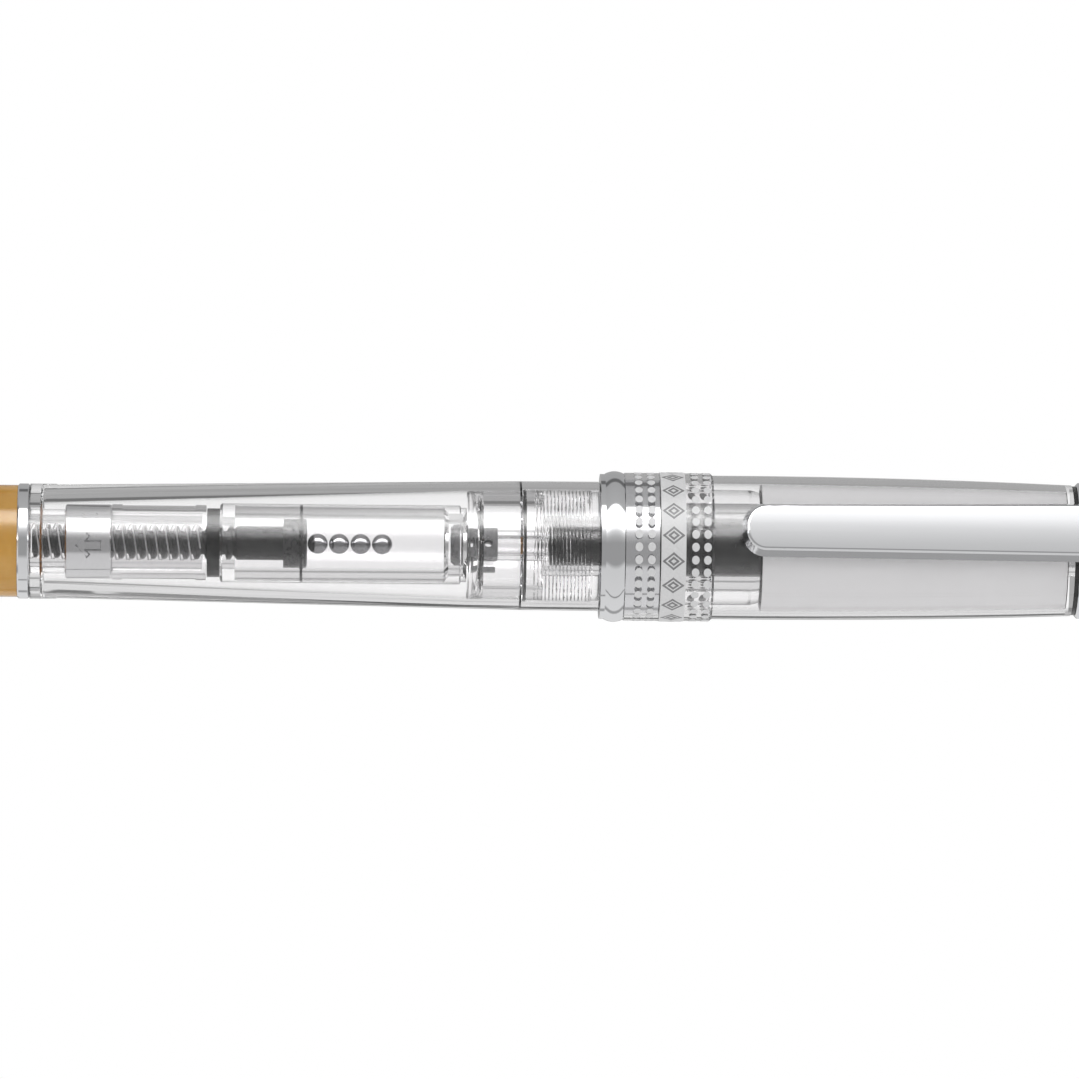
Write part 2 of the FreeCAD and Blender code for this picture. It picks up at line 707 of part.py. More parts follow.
def make_cap_ring():
    """Bulged metal ring at the cap's mouth, with the skirt that lines the cap behind the print."""
    shelf = S["cap_ring_shelf_radius"]
    turned_part("cap_ring", [
        (S["lip_inner_radius"], S["lip_z"]), (S["lip_radius"], S["lip_z"]),
        (S["lip_radius"], S["cap_ring_z"]),
        (shelf, S["cap_ring_z"], S["cap_ring_radius"] - shelf), (shelf, S["cap_ring_top_z"] - 0.02),
        (S["skirt_radius"], S["cap_ring_top_z"] - 0.02), (S["skirt_radius"], S["skirt_end_z"]),
        (S["lip_inner_radius"], S["skirt_end_z"])])


def make_cap_shell():
    """Clear cap tube with a raised band at its mouth and a gentle convex taper to the top."""
    turned_part("cap_shell", [
        (S["cap_bore_radius"], S["cap_ring_top_z"]), (S["cap_rear_radius"], S["cap_ring_top_z"]),
        (S["cap_rear_radius"], S["cap_step_z"]), (S["cap_step_radius"], S["cap_step_z"] + 0.2, 0.18),
        (S["cap_top_radius"], S["cap_top_z"]), (S["stud_bore_radius"], S["cap_top_z"]),
        (S["stud_bore_radius"], S["cap_wall_z"]), (S["cap_seat_top_radius"], S["cap_wall_z"], -0.1),
        (S["cap_seat_radius"], S["cap_seat_z"]), (S["cap_bore_radius"], S["cap_seat_z"] - 0.6)])


def make_inner_cap():
    """Frosted liner whose inner step stops on the section's front; its skirt reaches the cap's end wall."""
    wall = S["inner_cap_wall"]
    rear_bore = S["inner_cap_radius"] - wall
    front_bore = S["inner_cap_radius"] - S["inner_cap_stop_wall"]
    turned_part("inner_cap", [
        (rear_bore, S["inner_cap_rear_z"]), (S["inner_cap_radius"], S["inner_cap_rear_z"], 0.08),
        (S["inner_cap_top_radius"], S["inner_cap_end_z"]),
        (S["inner_cap_top_radius"] - wall, S["inner_cap_end_z"]),
        (S["inner_cap_top_radius"] - wall, S["inner_cap_roof_top_z"]), (AXIS, S["inner_cap_roof_top_z"]),
        (AXIS, S["inner_cap_roof_z"]), (S["inner_cap_top_radius"] - wall, S["inner_cap_roof_z"], -0.08),
        (front_bore, S["inner_cap_stop_z"]), (rear_bore, S["inner_cap_stop_z"])])


def make_cap_stud():
    """Screw that holds the washer, clip ring and finial on the cap."""
    body = turned_part("cap_stud", [
        (AXIS, S["stud_head_z"]), (S["stud_head_radius"], S["stud_head_z"]),
        (S["stud_head_radius"], S["cap_wall_z"] - 0.02), (S["stud_radius"], S["cap_wall_z"] - 0.02),
        (S["stud_radius"], S["stud_end_z"] - 0.3), (S["stud_radius"] - 0.3, S["stud_end_z"]),
        (AXIS, S["stud_end_z"])])
    slot = rectangle_sketch(body, "SlotProfile", "XZ_Plane", Size(-0.4, "-0.4"), Size(0.4, "0.4"),
                            S["stud_head_z"] - 0.1, S["stud_head_z"] + 0.5)
    pocket(body, slot, S["stud_head_radius"] * 3, "Slot", midplane=True)


def make_clip_ring():
    """Metal band at the cap's top with the tab that the clip arm springs from."""
    body = ring_part("clip_ring", S["stud_bore_radius"], S["clip_ring_radius"],
                     S["clip_ring_z"], S["clip_ring_top_z"])
    edge_chamfer(body, 0.2, S["clip_ring_radius"])
    half = S["clip_tab_half_width"]
    tab = rectangle_sketch(body, "TabProfile", "XY_Plane", mirrored(half), half,
                           mirrored(S["clip_tab_y"]), mirrored(S["clip_ring_radius"]) + 1.0,
                           S["clip_ring_z"] + 0.3)
    pad(body, tab, S["clip_ring_top_z"] - S["clip_ring_z"] - 0.6, "Tab")


def make_finial():
    """Amber cap end with a blind hole for the stud."""
    body = turned_part("finial", [
        (S["stud_bore_radius"], S["finial_z"]), (S["finial_radius"], S["finial_z"]),
        (S["finial_top_radius"], S["cap_end_z"]), (AXIS, S["cap_end_z"]),
        (AXIS, S["stud_end_z"] + 0.3), (S["stud_bore_radius"], S["stud_end_z"] + 0.3)])
    top = DIMENSIONS["cap_end_z"]
    edge_fillet(body, DIMENSIONS["finial_round"],
                lambda edge: abs(edge.BoundBox.ZMin - top) < 1e-3 and abs(edge.BoundBox.ZMax - top) < 1e-3)


def clip_plan(body, name, offset, inset):
    """The clip's outline seen from outside, drawn in from its full size by inset."""
    plan = new_sketch(body, name, "XZ_Plane", offset)
    tip = S["clip_tip_half_width"] - inset
    root = S["clip_root_half_width"] - inset
    corner = S["clip_tip_round"] - inset
    low = S["clip_tip_z"] + inset
    bulge = corner.number * (1 - math.sqrt(0.5))
    draw_outline(plan, [
        (mirrored(tip) + corner, low), (tip - corner, low, bulge), (tip, low + corner),
        (root, S["clip_root_z"]), (mirrored(root), S["clip_root_z"]), (mirrored(tip), low + corner, bulge)])
    return plan


def make_clip_arm():
    """Spring clip: a drafted channel with a crowned face, a round tip and a foot that bears on the cap."""
    body = new_body("clip_arm")
    bar = body.newObject("PartDesign::AdditiveLoft", "Bar")
    bar.Profile = clip_plan(body, "UnderProfile", S["clip_under_y"], Size(0, "0"))
    bar.Sections = [clip_plan(body, "FaceProfile", S["clip_top_y"] + 0.05, S["clip_draft"])]
    bar.Ruled = True
    body.Tip = bar
    doc.recompute()
    crown = new_sketch(body, "CrownProfile", "XY_Plane", S["clip_tip_z"] - 1.0)
    face = mirrored(S["clip_top_y"])
    edge = face + S["clip_crown"]
    side = S["clip_root_half_width"] - 0.3
    draw_outline(crown, [(mirrored(side), edge, DIMENSIONS["clip_crown"]), (side, edge),
                         (side + 1.0, edge + 0.2), (side + 1.0, face - 1.0),
                         (mirrored(side) - 1.0, face - 1.0),
                         (mirrored(side) - 1.0, edge + 0.2)])
    pocket(body, crown, S["clip_root_z"] - S["clip_tip_z"] + 2.0, "Crown", reverse=True)
    rim = edge.number + 0.15
    edge_fillet(body, DIMENSIONS["clip_edge_round"],
                lambda side: side.BoundBox.YMax < rim
                 and side.BoundBox.ZMin < DIMENSIONS["clip_root_z"] - 0.1)
    hollow = new_sketch(body, "HollowProfile", "XZ_Plane", S["clip_under_y"])
    inner_tip = S["clip_tip_half_width"] - S["clip_sheet"] - S["clip_draft"]
    inner_root = S["clip_root_half_width"] - S["clip_sheet"] - S["clip_draft"]
    low = S["clip_tip_z"] + 1.6
    high = S["clip_ring_z"] - 0.4
    draw_outline(hollow, [(mirrored(inner_tip), low), (inner_tip, low), (inner_root, high),
                          (mirrored(inner_root), high)])
    depth = S["clip_top_y"] - S["clip_under_y"] - S["clip_sheet"] - 0.2
    pocket(body, hollow, depth, "Hollow", reverse=True)
    foot = new_sketch(body, "FootProfile", "YZ_Plane")
    bridge = mirrored(S["clip_top_y"]) + 0.4
    draw_outline(foot, [
        (bridge, S["clip_foot_z"]), (bridge, S["clip_foot_z"] + S["clip_foot_length"]),
        (mirrored(S["clip_foot_y"]) - 0.7, S["clip_foot_z"] + S["clip_foot_length"] - 0.5, -0.7),
        (mirrored(S["clip_foot_y"]) - 0.7, S["clip_foot_z"] + 0.5)])
    pad(body, foot, S["clip_foot_half_width"] * 2, "Foot", midplane=True)


make_tail_plug()
make_tail_ring()
make_barrel()
make_gasket()
make_section()
make_nipple()
ring_part("ink_tube", S["ink_channel_radius"], S["ink_tube_radius"],
          S["nipple_block_top_z"] + 0.03, S["feed_rear_z"] - 0.03)
make_feed()
make_nib()
make_nib_tip()
make_chamber()
ring_part("converter_collar", S["rod_radius"] + S["rod_guide_gap"], S["collar_radius"],
          S["collar_rear_z"], S["chamber_rear_z"] - 0.05)
make_converter_housing()
make_converter_sleeve()
make_knob()
make_drive_screw()
make_piston()
make_seal()
make_balls()
make_cap_ring()
make_cap_shell()
make_inner_cap()
ring_part("cap_band", S["cap_rear_radius"] + S["band_gap"],
          S["cap_rear_radius"] + S["band_gap"] + S["band_thickness"], S["band_z"], S["band_top_z"])
ring_part("cap_washer", S["stud_bore_radius"], S["washer_radius"], S["washer_z"], S["washer_top_z"])
make_cap_stud()
make_clip_ring()
make_finial()
make_clip_arm()

doc.recompute()
for item in doc.Objects:
    if "Invalid" in item.State or "Error" in item.State:
        raise RuntimeError(f"{item.Label} failed: {item.State}")
for part in parts:
    if part.Shape.isNull() or not part.Shape.isValid() or len(part.Shape.Solids) != 1:
        raise RuntimeError(f"{part.Label} has no single valid solid")

os.makedirs("parts", exist_ok=True)
for part in parts:
    part.Shape.exportStep(f"parts/{part.Label}.step")
    print(f"{part.Label}: {part.Shape.Volume:.2f} mm3")
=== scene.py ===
"""Looks of the clear demonstrator fountain pen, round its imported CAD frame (metres, +Z up to the cap)."""
import json
import math

import bmesh
import bpy
from mathutils import Matrix, Vector


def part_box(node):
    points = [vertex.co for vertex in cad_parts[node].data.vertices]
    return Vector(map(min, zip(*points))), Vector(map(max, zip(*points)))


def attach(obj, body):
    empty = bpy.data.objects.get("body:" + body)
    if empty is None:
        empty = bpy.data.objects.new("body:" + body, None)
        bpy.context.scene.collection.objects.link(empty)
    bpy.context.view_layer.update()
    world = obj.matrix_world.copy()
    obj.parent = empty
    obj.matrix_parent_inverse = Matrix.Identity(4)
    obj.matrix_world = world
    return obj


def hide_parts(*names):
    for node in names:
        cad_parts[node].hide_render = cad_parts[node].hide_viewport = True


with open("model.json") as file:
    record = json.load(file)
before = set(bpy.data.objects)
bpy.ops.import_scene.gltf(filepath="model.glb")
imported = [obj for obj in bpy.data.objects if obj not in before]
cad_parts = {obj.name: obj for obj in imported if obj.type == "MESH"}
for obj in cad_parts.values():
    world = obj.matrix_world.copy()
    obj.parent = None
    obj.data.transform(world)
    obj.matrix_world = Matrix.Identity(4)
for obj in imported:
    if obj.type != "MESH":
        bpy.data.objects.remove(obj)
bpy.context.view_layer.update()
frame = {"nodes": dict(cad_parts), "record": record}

MM = 0.001
TAU = 2.0 * math.pi
nodes = frame["nodes"]

# ------------------------------------------------------------------ camera and studio

CAMERA_AZIMUTH = math.radians(12.0)
CAMERA_DISTANCE = 0.890
CAMERA_HEIGHT = 34.4 * MM
AIM_HEIGHT = 59.83 * MM
AIM_RISE = 0.56 * MM
PEN_TILT = math.radians(0.54)
FRAME_WIDTH = 95.66 * MM

TOWARDS_CAMERA = Vector((math.sin(CAMERA_AZIMUTH), -math.cos(CAMERA_AZIMUTH), 0.0))
PICTURE_UP = TOWARDS_CAMERA.cross(Vector((0.0, 0.0, 1.0)))


def make_camera():
    """Long lens, side-on to the pen; the picture's right is the pen's +Z."""
    aim = Vector((0.0, 0.0, AIM_HEIGHT)) + PICTURE_UP * AIM_RISE
    place = TOWARDS_CAMERA * CAMERA_DISTANCE + Vector((0.0, 0.0, CAMERA_HEIGHT))
    back = (place - aim).normalized()
    right = Vector((0.0, 0.0, 1.0)) * math.cos(PEN_TILT) + PICTURE_UP * math.sin(PEN_TILT)
    right = (right - back * right.dot(back)).normalized()
    up = back.cross(right)
    data = bpy.data.cameras.new("camera")
    data.sensor_width = 36.0
    data.angle = 2.0 * math.atan(FRAME_WIDTH / 2.0 / CAMERA_DISTANCE)
    data.clip_start = 0.01
    data.clip_end = 20.0
    camera = bpy.data.objects.new("camera", data)
    turn = Matrix((right, up, back)).transposed().to_4x4()
    camera.matrix_world = Matrix.Translation(place) @ turn
    bpy.context.scene.collection.objects.link(camera)
    bpy.context.scene.camera = camera


# Brightness of the studio by angle about the pen in degrees, from the camera's side to the picture's top.
# Polished faces mirror REFLECTED, and what the clear plastic passes straight through is THROUGH.
REFLECTED = [
    (-180, 0.40), (-178, 0.15), (-172, 0.15), (-170, 0.70), (-128, 0.74), (-126, 0.35), (-119, 0.35),
    (-117, 0.72), (-87, 0.70), (-86, 0.22), (-84, 0.22), (-83, 0.68), (-36, 0.64), (-28, 0.34), (6, 0.34),
    (16, 0.48), (24, 0.75), (32, 1.5), (42, 5.0), (60, 5.0), (70, 0.45), (117, 0.38), (119, 0.14),
    (128, 0.14), (131, 0.38), (180, 0.40)]
THROUGH = [
    (-180, 1.0), (-135, 1.0), (-125, 0.78), (-87, 0.74), (-36, 0.64), (-28, 0.36), (14, 0.38), (40, 1.0),
    (60, 1.0), (72, 0.40), (120, 0.40), (132, 1.0), (180, 1.0)]
ROOM_LIGHT = [(-180, 0.95), (-90, 0.84), (-20, 0.82), (45, 0.95), (100, 0.85), (180, 0.95)]
SHELL_GAIN = 0.5
# A colour ramp stops at 1, so the levels are divided by this and the light's strength gives it back.
WALL_UNIT = 6.0


def make_world():
    """White room seen directly; softbox, grey and white walls stand round the pen as vertical bands, and
    matt surfaces get the softer light of the whole room, a little stronger under the clear shell."""
    world = bpy.data.worlds.new("studio")
    bpy.context.scene.world = world
    world.use_nodes = True
    tree = world.node_tree
    tree.nodes.clear()
    link = tree.links.new
    place = tree.nodes.new("ShaderNodeTexCoord")
    split = tree.nodes.new("ShaderNodeSeparateXYZ")
    link(place.outputs["Generated"], split.inputs[0])
    angle = tree.nodes.new("ShaderNodeMath")
    angle.operation = "ARCTAN2"
    link(split.outputs["Y"], angle.inputs[0])
    link(split.outputs["X"], angle.inputs[1])
    facing = math.atan2(TOWARDS_CAMERA.y, TOWARDS_CAMERA.x)
    turned = tree.nodes.new("ShaderNodeMath")
    turned.operation = "MULTIPLY_ADD"
    turned.inputs[1].default_value = -1.0 / TAU
    turned.inputs[2].default_value = facing / TAU + 0.5
    link(angle.outputs[0], turned.inputs[0])
    wrapped = tree.nodes.new("ShaderNodeMath")
    wrapped.operation = "FRACT"
    link(turned.outputs[0], wrapped.inputs[0])

    def bands(levels):
        ramp = tree.nodes.new("ShaderNodeValToRGB")
        elements = ramp.color_ramp.elements
        while len(elements) > 1:
            elements.remove(elements[0])
        for index, (degrees, level) in enumerate(levels):
            spot = (degrees + 180.0) / 360.0
            element = elements[0] if index == 0 else elements.new(spot)
            element.position = spot
            part = level / WALL_UNIT
            element.color = (part, part, part, 1.0)
        link(wrapped.outputs[0], ramp.inputs[0])
        light = tree.nodes.new("ShaderNodeBackground")
        light.inputs["Strength"].default_value = WALL_UNIT
        link(ramp.outputs["Color"], light.inputs["Color"])
        return light

    def any_bounce(name):
        test = tree.nodes.new("ShaderNodeMath")
        test.operation = "GREATER_THAN"
        test.inputs[1].default_value = 0.5
        link(ray.outputs[name], test.inputs[0])
        return test.outputs[0]

    def choose(test, otherwise, chosen):
        mix = tree.nodes.new("ShaderNodeMixShader")
        link(test, mix.inputs[0])
        link(otherwise.outputs[0], mix.inputs[1])
        link(chosen.outputs[0], mix.inputs[2])
        return mix

    ray = tree.nodes.new("ShaderNodeLightPath")
    room = bands(ROOM_LIGHT)
    gain = tree.nodes.new("ShaderNodeMath")
    gain.operation = "MULTIPLY_ADD"
    gain.inputs[1].default_value = WALL_UNIT * SHELL_GAIN
    gain.inputs[2].default_value = WALL_UNIT
    link(any_bounce("Transmission Depth"), gain.inputs[0])
    link(gain.outputs[0], room.inputs["Strength"])
    white = tree.nodes.new("ShaderNodeBackground")
    white.inputs["Color"].default_value = (1.0, 1.0, 1.0, 1.0)
    polished = choose(any_bounce("Glossy Depth"), bands(THROUGH), bands(REFLECTED))
    lit = choose(any_bounce("Diffuse Depth"), polished, room)
    mix = choose(ray.outputs["Is Camera Ray"], lit, white)
    out = tree.nodes.new("ShaderNodeOutputWorld")
    link(mix.outputs[0], out.inputs["Surface"])


# ------------------------------------------------------------------ materials

class Finish:
    """A Principled material with helpers that drive its roughness, colour and bump from noise."""

    def __init__(self, name, **values):
        self.material = bpy.data.materials.new(name)
        self.material.use_nodes = True
        self.tree = self.material.node_tree
        self.shader = self.tree.nodes["Principled BSDF"]
        self.place = self.tree.nodes.new("ShaderNodeTexCoord")
        for socket, value in values.items():
            self.shader.inputs[socket.replace("_", " ")].default_value = value

    def node(self, kind, **values):
        made = self.tree.nodes.new(kind)
        for key, value in values.items():
            setattr(made, key, value)
        return made

    def noise(self, scale, detail=4.0, stretch=(1.0, 1.0, 1.0)):
        """Noise in the object's own metres; scale counts features per metre."""
        mapping = self.node("ShaderNodeMapping")
        mapping.inputs["Scale"].default_value = stretch
        texture = self.node("ShaderNodeTexNoise")
        texture.inputs["Scale"].default_value = scale
        texture.inputs["Detail"].default_value = detail
        self.tree.links.new(self.place.outputs["Object"], mapping.inputs["Vector"])
        self.tree.links.new(mapping.outputs["Vector"], texture.inputs["Vector"])
        return texture.outputs["Fac"]

    def spread(self, source, low, high):
        """Maps noise to a range of numbers."""
        mapped = self.node("ShaderNodeMapRange")
        mapped.inputs["From Min"].default_value = 0.3
        mapped.inputs["From Max"].default_value = 0.7
        mapped.inputs["To Min"].default_value = low
        mapped.inputs["To Max"].default_value = high
        self.tree.links.new(source, mapped.inputs["Value"])
        return mapped.outputs["Result"]

    def roughness(self, source, low, high):
        self.tree.links.new(self.spread(source, low, high), self.shader.inputs["Roughness"])

    def colour(self, source, dark, light):
        ramp = self.node("ShaderNodeValToRGB")
        ramp.color_ramp.elements[0].position = 0.3
        ramp.color_ramp.elements[1].position = 0.7
        ramp.color_ramp.elements[0].color = (*dark, 1.0)
        ramp.color_ramp.elements[1].color = (*light, 1.0)
        self.tree.links.new(source, ramp.inputs[0])
        self.tree.links.new(ramp.outputs["Color"], self.shader.inputs["Base Color"])

    def bump(self, source, height_mm, strength=1.0):
        bump = self.node("ShaderNodeBump")
        bump.inputs["Distance"].default_value = height_mm * MM
        bump.inputs["Strength"].default_value = strength
        self.tree.links.new(source, bump.inputs["Height"])
        self.tree.links.new(bump.outputs["Normal"], self.shader.inputs["Normal"])


def clear_plastic():
    finish = Finish("clear_plastic", Transmission_Weight=1.0, IOR=1.49, Base_Color=(0.985, 0.982, 0.985, 1.0))
    finish.roughness(finish.noise(900.0), 0.0, 0.012)
    finish.bump(finish.noise(140.0, 1.0, (1.0, 1.0, 0.35)), 0.004, 0.4)
    return finish.material


def amber_plastic():
    finish = Finish("amber_plastic", Transmission_Weight=0.35, IOR=1.7)
    finish.colour(finish.noise(420.0, 3.0), (0.80, 0.42, 0.070), (0.91, 0.53, 0.125))
    finish.roughness(finish.noise(900.0), 0.08, 0.16)
    finish.bump(finish.noise(260.0, 2.0), 0.02, 0.5)
    return finish.material


def chrome():
    finish = Finish("chrome", Metallic=1.0, Base_Color=(0.88, 0.885, 0.90, 1.0))
    finish.roughness(finish.noise(1500.0, 6.0, (1.0, 1.0, 0.2)), 0.05, 0.10)
    finish.bump(finish.noise(500.0, 2.0), 0.0006, 0.3)
    return finish.material


def satin_steel():
    finish = Finish("satin_steel", Metallic=1.0)
    grain = finish.noise(2500.0, 5.0, (1.0, 1.0, 6.0))
    finish.colour(grain, (0.84, 0.84, 0.85), (0.88, 0.88, 0.89))
    finish.roughness(grain, 0.08, 0.13)
    return finish.material


def turned_steel():
    finish = Finish("turned_steel", Metallic=1.0)
    grain = finish.noise(3000.0, 3.0, (0.4, 0.4, 8.0))
    finish.colour(grain, (0.55, 0.55, 0.56), (0.72, 0.72, 0.73))
    finish.roughness(grain, 0.18, 0.32)
    finish.bump(grain, 0.006, 0.5)
    return finish.material


def nib_steel():
    finish = Finish("nib_steel", Metallic=1.0)
    grain = finish.noise(2200.0, 4.0, (6.0, 6.0, 0.6))
    finish.colour(grain, (0.78, 0.78, 0.77), (0.86, 0.86, 0.85))
    finish.roughness(grain, 0.10, 0.18)
    finish.bump(grain, 0.001, 0.3)
    return finish.material


def ball_steel():
    finish = Finish("ball_steel", Metallic=1.0, Base_Color=(0.46, 0.46, 0.47, 1.0))
    finish.roughness(finish.noise(3000.0, 5.0), 0.12, 0.22)
    return finish.material


def black_plastic():
    finish = Finish("black_plastic", IOR=1.42)
    grain = finish.noise(1400.0, 5.0)
    finish.colour(grain, (0.010, 0.010, 0.010), (0.032, 0.031, 0.030))
    finish.roughness(grain, 0.10, 0.26)
    finish.bump(grain, 0.02, 0.5)
    return finish.material


def black_rubber():
    finish = Finish("black_rubber", IOR=1.55)
    grain = finish.noise(2600.0, 6.0)
    finish.colour(grain, (0.012, 0.012, 0.012), (0.035, 0.035, 0.035))
    finish.roughness(grain, 0.22, 0.36)
    finish.bump(grain, 0.01, 0.5)
    return finish.material


def grey_plastic():
    finish = Finish("grey_plastic", IOR=1.5)
    grain = finish.noise(1800.0, 4.0)
    finish.colour(grain, (0.20, 0.20, 0.205), (0.31, 0.31, 0.315))
    finish.roughness(grain, 0.22, 0.36)
    finish.bump(grain, 0.01, 0.5)
    return finish.material


def frosted_plastic():
    finish = Finish("frosted_plastic", IOR=1.35, Transmission_Weight=0.08)
    grain = finish.noise(5000.0, 3.0)
    finish.colour(finish.noise(160.0, 2.0, (1.0, 1.0, 0.5)), (0.945, 0.940, 0.945), (0.975, 0.970, 0.975))
    finish.roughness(grain, 0.55, 0.7)
    finish.bump(grain, 0.006, 0.5)
    return finish.material


def printed_foil():
    finish = Finish("printed_foil", Metallic=0.1)
    grain = finish.noise(6000.0, 4.0)
    finish.colour(grain, (0.72, 0.72, 0.725), (0.79, 0.79, 0.795))
    finish.roughness(grain, 0.42, 0.55)
    finish.bump(grain, 0.002, 0.5)
    return finish.material


def grey_print():
    finish = Finish("grey_print", Metallic=0.2)
    grain = finish.noise(6000.0, 4.0)
    finish.colour(grain, (0.22, 0.22, 0.225), (0.30, 0.30, 0.305))
    finish.roughness(grain, 0.35, 0.5)
    return finish.material


def cut_steel():
    finish = Finish("cut_steel", Metallic=1.0)
    grain = finish.noise(5000.0, 3.0)
    finish.colour(grain, (0.30, 0.30, 0.31), (0.44, 0.44, 0.45))
    finish.roughness(grain, 0.35, 0.5)
    return finish.material


FINISHES = {
    "clear_plastic": clear_plastic(), "amber_plastic": amber_plastic(), "chrome": chrome(),
    "satin_steel": satin_steel(), "stud_steel": turned_steel(), "nib_steel": nib_steel(),
    "ball_steel": ball_steel(), "black_plastic": black_plastic(), "black_rubber": black_rubber(),
    "grey_plastic": grey_plastic(), "frosted_plastic": frosted_plastic(), "print_white": printed_foil()}
GREY_PRINT = grey_print()
CUT_STEEL = cut_steel()


def dress_nodes():
    """Gives every CAD node the procedural material of its slot."""
    for subpart in frame["record"]["subparts"]:
        data = nodes[subpart["node"]].data
        data.materials.clear()
        data.materials.append(FINISHES[subpart["material_slot"]])


# ------------------------------------------------------------------ pieces

def new_piece(name, mesh, material, body, smooth=True):
    mesh.normal_update()
    data = bpy.data.meshes.new(name)
    mesh.to_mesh(data)
    mesh.free()
    data.materials.append(material)
    for face in data.polygons:
        face.use_smooth = smooth
    piece = bpy.data.objects.new(name, data)
    bpy.context.scene.collection.objects.link(piece)
    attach(piece, body)
    return piece


def on_cylinder(radius, angle, height):
    """A point at the given angle from the -Y side, turning towards +X."""
    return Vector((radius * math.sin(angle), -radius * math.cos(angle), height))


def add_patch(mesh, outline, centre_angle, centre_height, radius, thickness):
    """Thin raised patch on a cylinder; outline is (around, up) in metres, counter-clockwise from outside."""
    rings = []
    for lift in (0.0, thickness):
        rings.append([
            mesh.verts.new(on_cylinder(radius + lift, centre_angle + around / radius, centre_height + up))
            for around, up in outline])
    low, high = rings
    count = len(outline)
    for index in range(count):
        after = (index + 1) % count
        mesh.faces.new((low[index], low[after], high[after], high[index]))
    centre = mesh.verts.new(on_cylinder(radius + thickness, centre_angle, centre_height))
    under = mesh.verts.new(on_cylinder(radius, centre_angle, centre_height))
    for index in range(count):
        after = (index + 1) % count
        mesh.faces.new((high[index], high[after], centre))
        mesh.faces.new((low[after], low[index], under))


def ellipse(half_across, half_up, count=20):
    return [(half_across * math.cos(TAU * step / count), half_up * math.sin(TAU * step / count))
            for step in range(count)]


def strip(start, end, half_width):
    """Outline of a straight strip, as points relative to its middle, and that middle."""
    along = (end - start).normalized() * half_width
    side = Vector((along.y, -along.x))
    middle = (start + end) * 0.5
    corners = (start - along + side, end + along + side, end + along - side, start - along - side)
    return [tuple(corner - middle) for corner in corners], middle


def add_line_work(mesh, points, centre_angle, radius, half_width, thickness):
    """A line drawn on a cylinder through points given as (around, height) in millimetres."""
    places = [Vector(point) * MM for point in points]
    for start, end in zip(places, places[1:]):
        outline, middle = strip(start, end, half_width)
        add_patch(mesh, outline, centre_angle + middle.x / radius, middle.y, radius, thickness)


DOT_COUNT = 36
DOT_COLUMNS = (68.45, 69.57, 73.44, 74.50)
DOT_HALF_UP = 0.34 * MM
DOT_HALF_AROUND = 0.40 * MM
DOT_SINK = 0.05 * MM
DOT_THICKNESS = 0.02 * MM
DOT_TURN = 0.2      # of the step between two dots


def make_dots():
    """Foil dots in four rings round the cap's band."""
    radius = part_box("cap_band")[1][0] - DOT_SINK
    mesh = bmesh.new()
    for height in DOT_COLUMNS:
        for index in range(DOT_COUNT):
            add_patch(mesh, ellipse(DOT_HALF_AROUND, DOT_HALF_UP), TAU * (index + DOT_TURN) / DOT_COUNT,
                      height * MM, radius, DOT_THICKNESS)
    new_piece("cap_dots", mesh, FINISHES["print_white"], "cap", smooth=False)


LOZENGE_COUNT = 18
LOZENGE_HEIGHT = 71.5
LOZENGE_TURN = 0.15     # of the step between two lozenges
LOZENGE_SCALES = (1.0, 0.45)
LOZENGE_LIFT = 0.003 * MM
LOZENGE_LINE = 0.085 * MM
LOZENGE_THICKNESS = 0.008 * MM
LOZENGE = ((0.0, -0.86), (0.70, 0.0), (0.0, 0.86), (-0.70, 0.0))


def make_band_motif():
    """Outlined lozenges printed round the foil band, as a plain ornament."""
    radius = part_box("cap_band")[1][0] + LOZENGE_LIFT
    outlines = bmesh.new()
    for index in range(LOZENGE_COUNT):
        angle = TAU * (index + LOZENGE_TURN) / LOZENGE_COUNT
        for scale in LOZENGE_SCALES:
            corners = [(x * scale, LOZENGE_HEIGHT + y * scale) for x, y in LOZENGE]
            add_line_work(outlines, corners + corners[:1], angle, radius, LOZENGE_LINE, LOZENGE_THICKNESS)
    new_piece("band_motif", outlines, GREY_PRINT, "cap", smooth=False)


ARROW = ((0.0, 18.84), (0.98, 19.78), (0.74, 20.02), (0.36, 19.64), (0.36, 20.99),
         (-0.36, 20.99), (-0.36, 19.64), (-0.74, 20.02), (-0.98, 19.78), (0.0, 18.84))
TICK = ((-0.52, 19.45), (0.42, 20.0), (-0.58, 20.66))
ARROW_ANGLE = math.radians(17.4)
TICK_ANGLE = math.radians(-20.5)
ARROW_LINE = 0.07 * MM
TICK_LINE = 0.075 * MM
MARK_THICKNESS = 0.006 * MM


def make_sleeve_marks():
    """Arrow and tick cut into the converter's steel sleeve."""
    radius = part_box("converter_sleeve")[1][0]
    mesh = bmesh.new()
    add_line_work(mesh, ARROW, ARROW_ANGLE, radius, ARROW_LINE, MARK_THICKNESS)
    add_line_work(mesh, TICK, TICK_ANGLE, radius, TICK_LINE, MARK_THICKNESS)
    new_piece("sleeve_marks", mesh, CUT_STEEL, "converter", smooth=False)


NUT_STARTS = 2
NUT_LEAD = 1.9 * MM
NUT_LOW = 13.0 * MM
NUT_HIGH = 29.8 * MM
NUT_RADIUS = 1.59 * MM
NUT_DEPTH = 0.06 * MM
NUT_HALF_WIDTH = 0.07 * MM
NUT_STEPS = 40


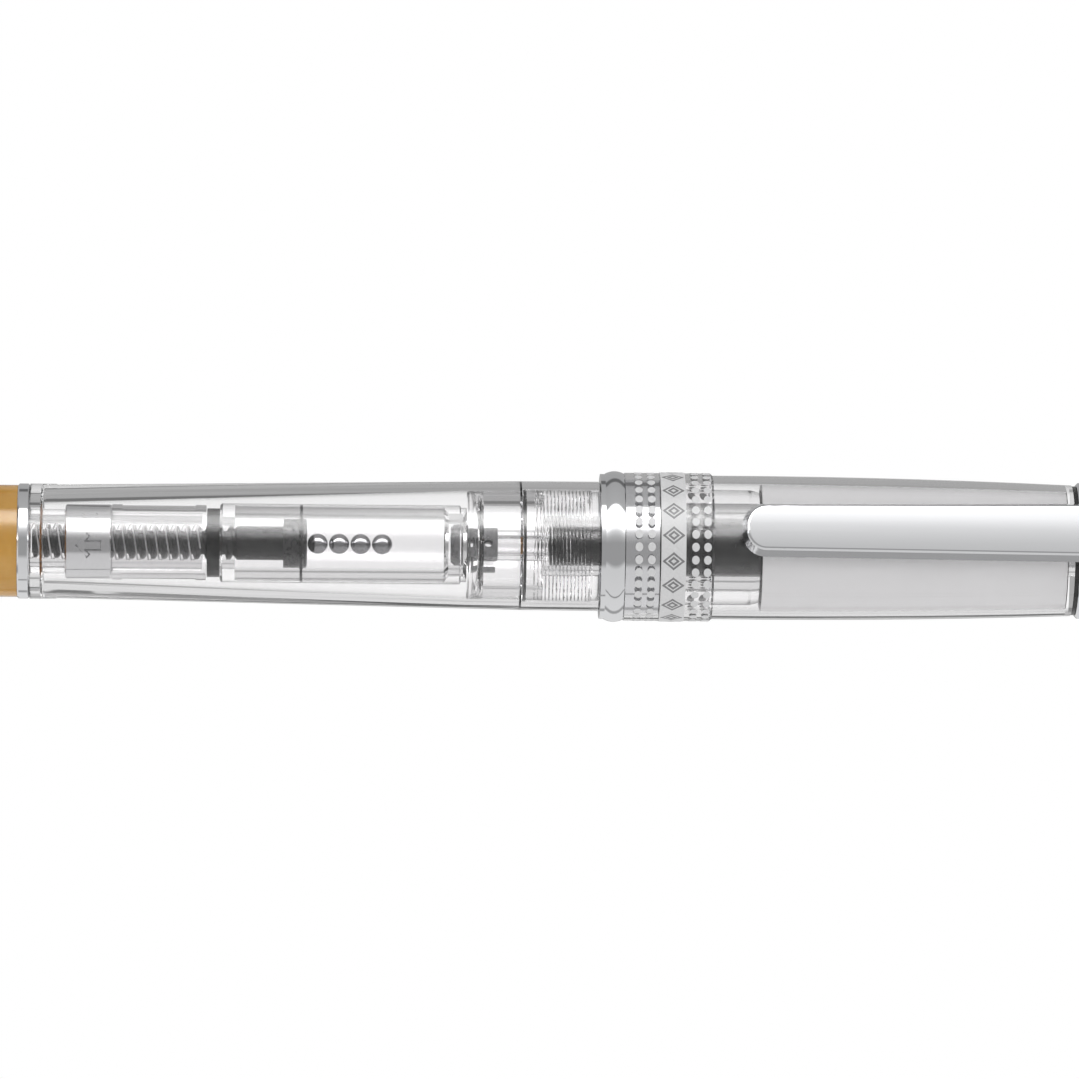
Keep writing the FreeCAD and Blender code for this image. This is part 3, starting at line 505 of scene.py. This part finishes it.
def make_painted_highlight_thread():
    """Fine two-start thread inside the knob's tube, just clear of the drive screw's crests. It is drawn in
    pale frosted plastic rather than clear, so its crests show as bright lines: a painted highlight on the
    thread edges.
    """
    mesh = bmesh.new()
    count = int((NUT_HIGH - NUT_LOW) / NUT_LEAD * NUT_STEPS)
    for start in range(NUT_STARTS):
        before = None
        for step in range(count + 1):
            angle = TAU * (step / NUT_STEPS + start / NUT_STARTS)
            height = NUT_LOW + NUT_LEAD * step / NUT_STEPS
            ring = [mesh.verts.new((radius * math.cos(angle), radius * math.sin(angle), height + rise))
                    for radius, rise in ((NUT_RADIUS, -NUT_HALF_WIDTH), (NUT_RADIUS - NUT_DEPTH, 0.0),
                                         (NUT_RADIUS, NUT_HALF_WIDTH))]
            if before:
                for index in range(3):
                    after = (index + 1) % 3
                    mesh.faces.new((before[index], before[after], ring[after], ring[index]))
            else:
                mesh.faces.new(ring)
            before = ring
        mesh.faces.new(before[::-1])
    bmesh.ops.recalc_face_normals(mesh, faces=mesh.faces)
    # pale frosted finish on a thread that is clear in the real knob: painted highlight along its crests
    new_piece("nut_thread_painted_highlight", mesh, FINISHES["frosted_plastic"], "knob", smooth=False)


SEAL_RADIUS = 2.29 * MM
SEAL_INNER = 1.7 * MM
SEAL_EDGE = 0.12 * MM
SEAL_SEGMENTS = 96


def make_seal():
    """The piston's seal, squeezed against the chamber's bore so that it shows through the wall."""
    low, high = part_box("piston_seal")[0][2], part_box("piston_seal")[1][2]
    profile = ((SEAL_INNER, low), (SEAL_RADIUS - SEAL_EDGE, low), (SEAL_RADIUS, low + SEAL_EDGE),
               (SEAL_RADIUS, high - SEAL_EDGE), (SEAL_RADIUS - SEAL_EDGE, high), (SEAL_INNER, high))
    mesh = bmesh.new()
    rings = [[mesh.verts.new((radius * math.cos(TAU * step / SEAL_SEGMENTS),
                              radius * math.sin(TAU * step / SEAL_SEGMENTS), height))
              for step in range(SEAL_SEGMENTS)] for radius, height in profile]
    for index, ring in enumerate(rings):
        after = rings[(index + 1) % len(rings)]
        for step in range(SEAL_SEGMENTS):
            beyond = (step + 1) % SEAL_SEGMENTS
            mesh.faces.new((ring[step], ring[beyond], after[beyond], after[step]))
    bmesh.ops.recalc_face_normals(mesh, faces=mesh.faces)
    piece = new_piece("seal_ring", mesh, FINISHES["black_rubber"], "piston", smooth=False)
    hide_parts("piston_seal")


FLOOR_RADIUS = 0.2
FLOOR_SEGMENTS = 96
FLOOR_DROP = 0.05 * MM


def make_floor():
    """Small pale stand under the tail, not mirrored in the pen; it ends below the camera's view."""
    mesh = bmesh.new()
    bmesh.ops.create_circle(mesh, cap_ends=True, radius=FLOOR_RADIUS, segments=FLOOR_SEGMENTS)
    data = bpy.data.meshes.new("floor")
    mesh.to_mesh(data)
    mesh.free()
    floor = bpy.data.objects.new("floor", data)
    floor.location.z = -FLOOR_DROP
    bpy.context.scene.collection.objects.link(floor)
    material = Finish("pale_floor", Roughness=0.8, Base_Color=(0.86, 0.86, 0.86, 1.0)).material
    data.materials.append(material)
    floor.visible_glossy = False
    floor.visible_transmission = False


make_camera()
make_world()
dress_nodes()
make_dots()
make_band_motif()
make_sleeve_marks()
make_painted_highlight_thread()
make_seal()
make_floor()

scene = bpy.context.scene
scene.view_settings.view_transform = "Standard"
scene.cycles.max_bounces = 48
scene.cycles.transmission_bounces = 40
scene.cycles.glossy_bounces = 16
scene.cycles.diffuse_bounces = 4
